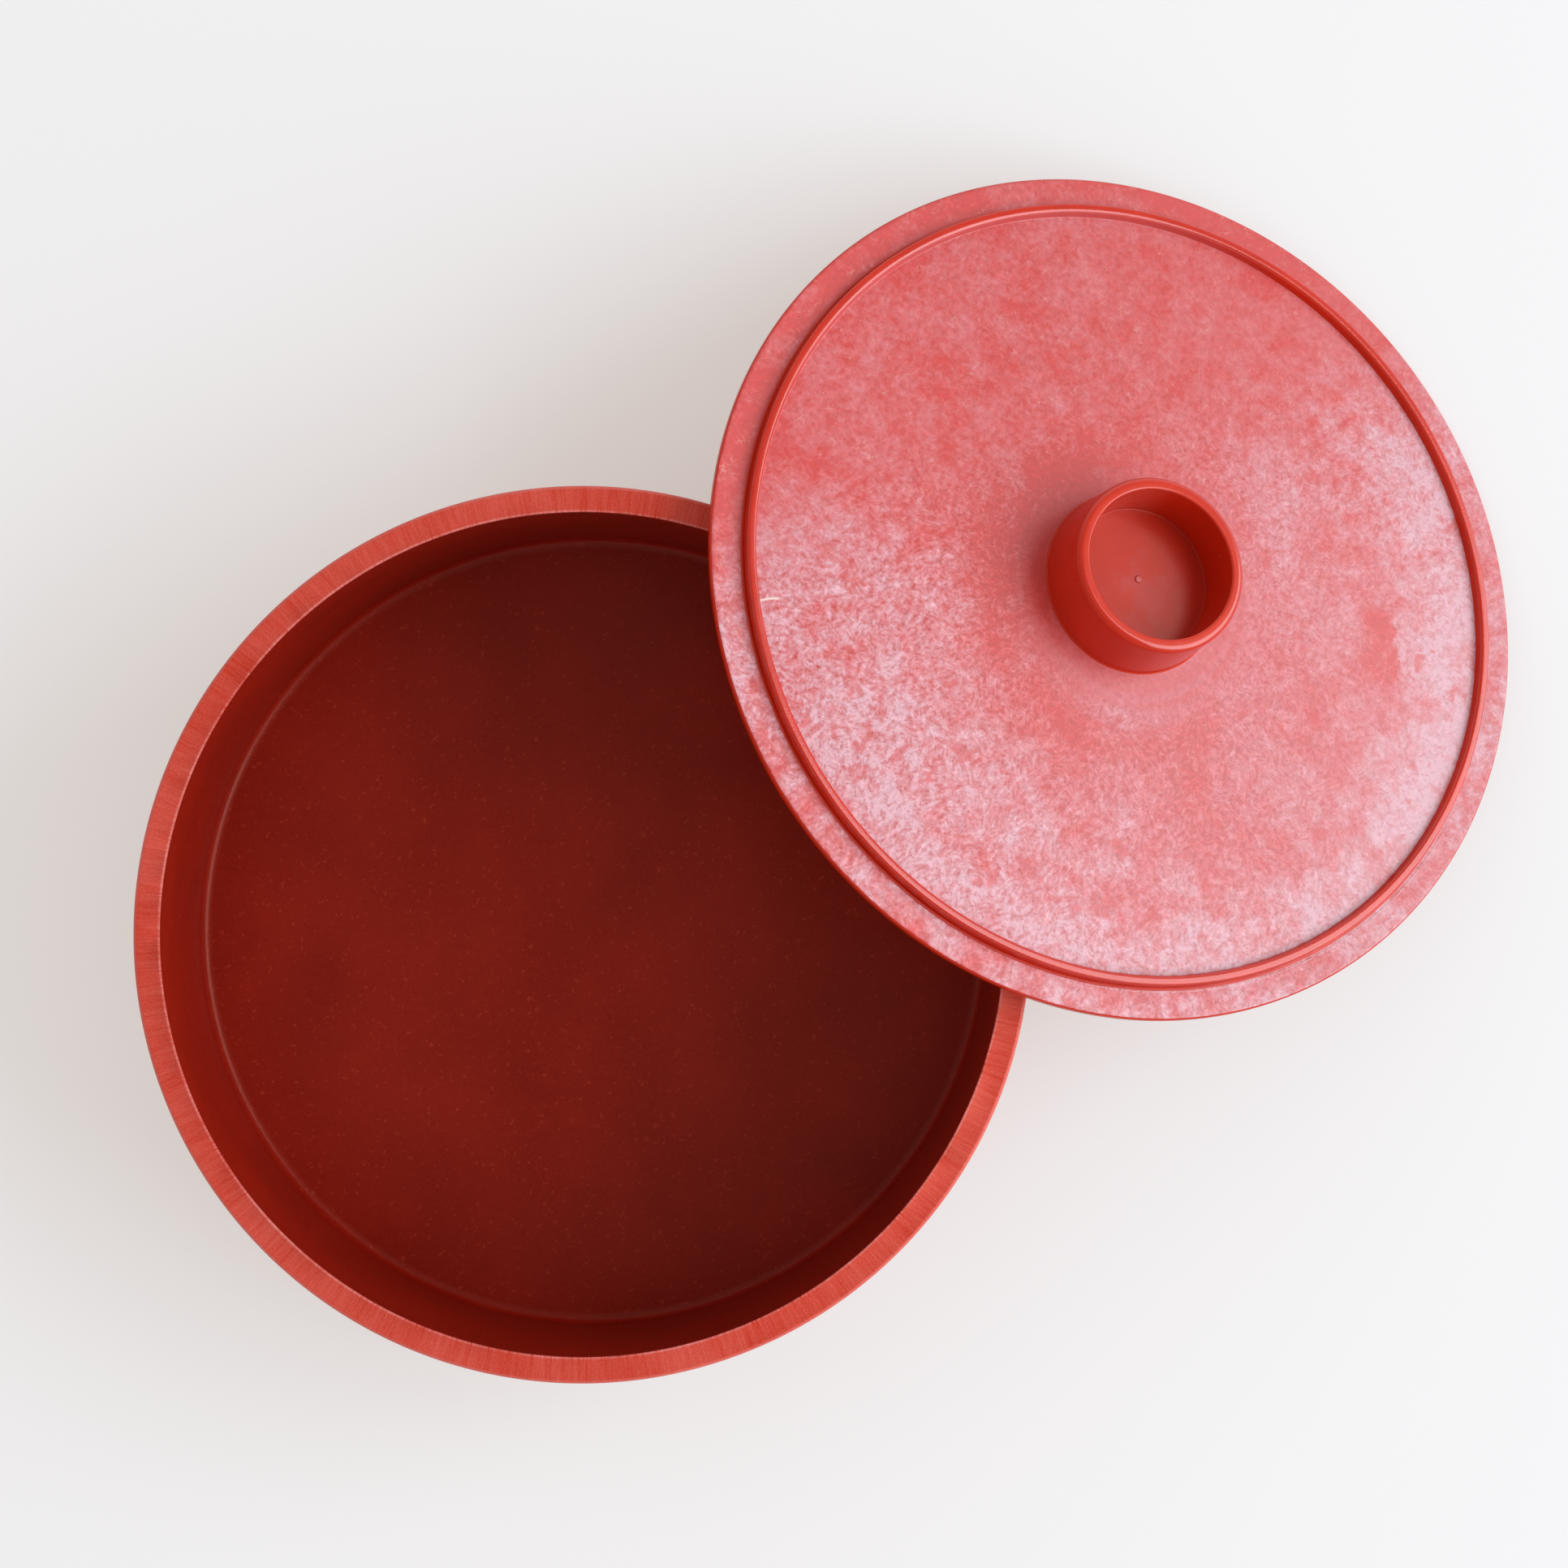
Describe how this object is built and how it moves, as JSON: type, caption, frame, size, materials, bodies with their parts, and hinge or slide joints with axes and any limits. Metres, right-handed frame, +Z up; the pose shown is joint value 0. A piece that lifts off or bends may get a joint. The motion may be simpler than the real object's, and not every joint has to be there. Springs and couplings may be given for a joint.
{
  "type": "tortilla warmer",
  "caption": "Round dish with a flat rim for keeping tortillas warm, and its shallow domed lid with an open cup knob, taken off and leaning on the rim.",
  "frame": {"origin": "centre of the dish's foot ring, on the table", "axes": "+Z up along the dish's axis, +X from the dish towards the low edge of the leaning lid"},
  "size_m": [0.3637, 0.216, 0.0894],
  "materials": {
    "dish_shell": "red fibre-filled plastic, fine speckle drawn out round the rim, satin",
    "lid_shell": "red fibre-filled plastic with a pale thread-like speckle on the dome and edge, smooth and satin on the bead and knob"
  },
  "bodies": {
    "dish": {"base_dish": "dish_shell"},
    "lid": {"lid": "lid_shell"}
  },
  "joints": [
    {"name": "lid_lift", "type": "slide", "parent": "dish", "child": "lid", "axis": [0, 0, 1], "range_m": [0, 0.08]}
  ]
}
